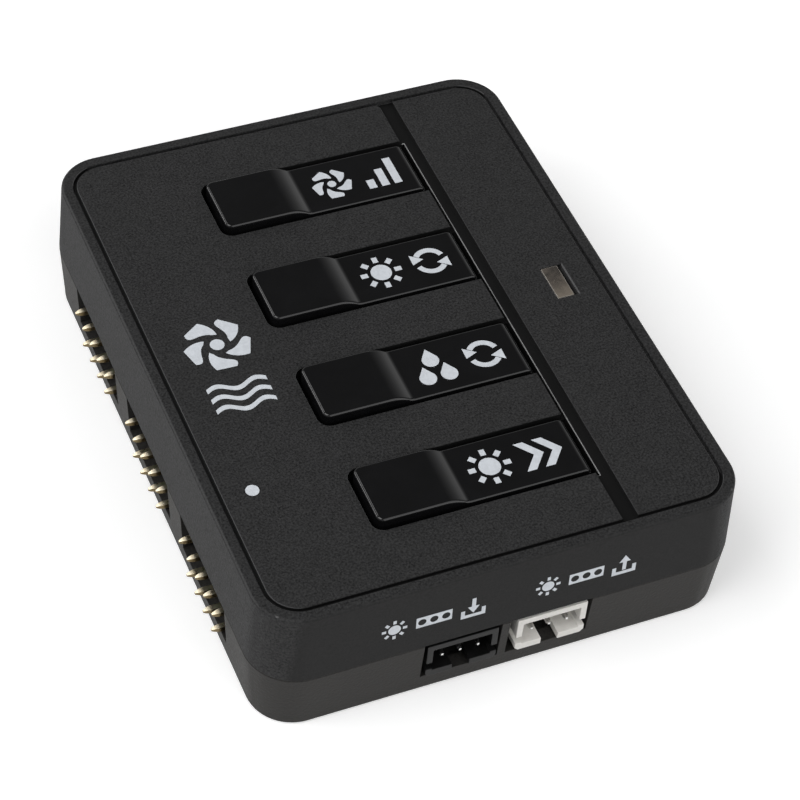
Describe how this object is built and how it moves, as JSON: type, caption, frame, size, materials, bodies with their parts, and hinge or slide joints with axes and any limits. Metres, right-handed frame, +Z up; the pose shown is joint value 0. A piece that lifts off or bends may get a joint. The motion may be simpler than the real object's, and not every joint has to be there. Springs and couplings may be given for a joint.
{
  "type": "pc fan controller hub",
  "caption": "Flat two-shell plastic box with pivoting gloss keys on top, pinned fan ports along one side and shrouded light and power headers at its ends; sets fan speed and lighting.",
  "frame": {"origin": "middle of the flat base, where the hub rests", "axes": "+Z up through the keys; -Y to the front with the two light headers; -X to the side with the fan ports; +Y along the longer side"},
  "size_m": [0.0546, 0.0704, 0.0179],
  "materials": {
    "cover_plastic": "black, fine spark-eroded texture",
    "case_plastic": "black, coarser spark-eroded texture",
    "key_plastic": "piano black",
    "smoky_lens": "clear, smoky",
    "black_header": "satin",
    "white_header": "satin",
    "gold_pins": "gold plated",
    "tin_pins": "tin plated",
    "board": "solder mask",
    "lamp": "white moulded",
    "chip": "moulded epoxy",
    "can": "satin",
    "switch_plastic": "satin",
    "plunger_plastic": "satin",
    "screw_steel": "zinc plated"
  },
  "bodies": {
    "hub": {"top_cover": "cover_plastic", "bottom_case": "case_plastic", "circuit_board": "board", "light_pipe": "smoky_lens", "indicator_lamp": "lamp", "led_in_header": "black_header", "led_out_header": "white_header", "power_header": "black_header", "led_in_pins": "tin_pins", "led_out_pins": "tin_pins", "power_pins": "tin_pins", "controller_chip": "chip", "power_capacitor": "can", "case_screws": "screw_steel", "switch_body_a": "switch_plastic", "switch_body_b": "switch_plastic", "switch_body_c": "switch_plastic", "switch_body_d": "switch_plastic", "fan_header_a": "black_header", "fan_pins_a": "gold_pins", "fan_driver_a": "chip", "fan_header_b": "black_header", "fan_pins_b": "gold_pins", "fan_driver_b": "chip", "fan_header_c": "black_header", "fan_pins_c": "gold_pins", "fan_driver_c": "chip"},
    "fan_speed": {"fan_speed_key": "key_plastic"},
    "light_mode": {"light_mode_key": "key_plastic"},
    "color_mode": {"color_mode_key": "key_plastic"},
    "light_speed": {"light_speed_key": "key_plastic"},
    "fan_speed_plunger": {"switch_plunger_a": "plunger_plastic"},
    "light_mode_plunger": {"switch_plunger_b": "plunger_plastic"},
    "color_mode_plunger": {"switch_plunger_c": "plunger_plastic"},
    "light_speed_plunger": {"switch_plunger_d": "plunger_plastic"}
  },
  "joints": [
    {"name": "fan_speed_press", "type": "hinge", "parent": "hub", "child": "fan_speed", "pos_m": [0.0106, 0.0222, 0.0136], "axis": [0, -1, 0], "range_deg": [0, 0.8], "stiffness_Nm_per_rad": 0.004, "springref_deg": -1.15},
    {"name": "fan_speed_switch", "type": "slide", "parent": "hub", "child": "fan_speed_plunger", "axis": [0, 0, -1], "range_m": [0, 0.0003], "stiffness_N_per_m": 0.05, "springref_m": -0.008},
    {"name": "light_mode_press", "type": "hinge", "parent": "hub", "child": "light_mode", "pos_m": [0.0106, 0.0074, 0.0136], "axis": [0, -1, 0], "range_deg": [0, 0.8], "stiffness_Nm_per_rad": 0.004, "springref_deg": -1.15},
    {"name": "light_mode_switch", "type": "slide", "parent": "hub", "child": "light_mode_plunger", "axis": [0, 0, -1], "range_m": [0, 0.0003], "stiffness_N_per_m": 0.05, "springref_m": -0.008},
    {"name": "color_mode_press", "type": "hinge", "parent": "hub", "child": "color_mode", "pos_m": [0.0106, -0.0074, 0.0136], "axis": [0, -1, 0], "range_deg": [0, 0.8], "stiffness_Nm_per_rad": 0.004, "springref_deg": -1.15},
    {"name": "color_mode_switch", "type": "slide", "parent": "hub", "child": "color_mode_plunger", "axis": [0, 0, -1], "range_m": [0, 0.0003], "stiffness_N_per_m": 0.05, "springref_m": -0.008},
    {"name": "light_speed_press", "type": "hinge", "parent": "hub", "child": "light_speed", "pos_m": [0.0106, -0.0222, 0.0136], "axis": [0, -1, 0], "range_deg": [0, 0.8], "stiffness_Nm_per_rad": 0.004, "springref_deg": -1.15},
    {"name": "light_speed_switch", "type": "slide", "parent": "hub", "child": "light_speed_plunger", "axis": [0, 0, -1], "range_m": [0, 0.0003], "stiffness_N_per_m": 0.05, "springref_m": -0.008}
  ],
  "couplings": [
    {"joint": "fan_speed_switch", "follows": "fan_speed_press", "m_per_rad": 0.018375},
    {"joint": "light_mode_switch", "follows": "light_mode_press", "m_per_rad": 0.018375},
    {"joint": "color_mode_switch", "follows": "color_mode_press", "m_per_rad": 0.018375},
    {"joint": "light_speed_switch", "follows": "light_speed_press", "m_per_rad": 0.018375}
  ]
}
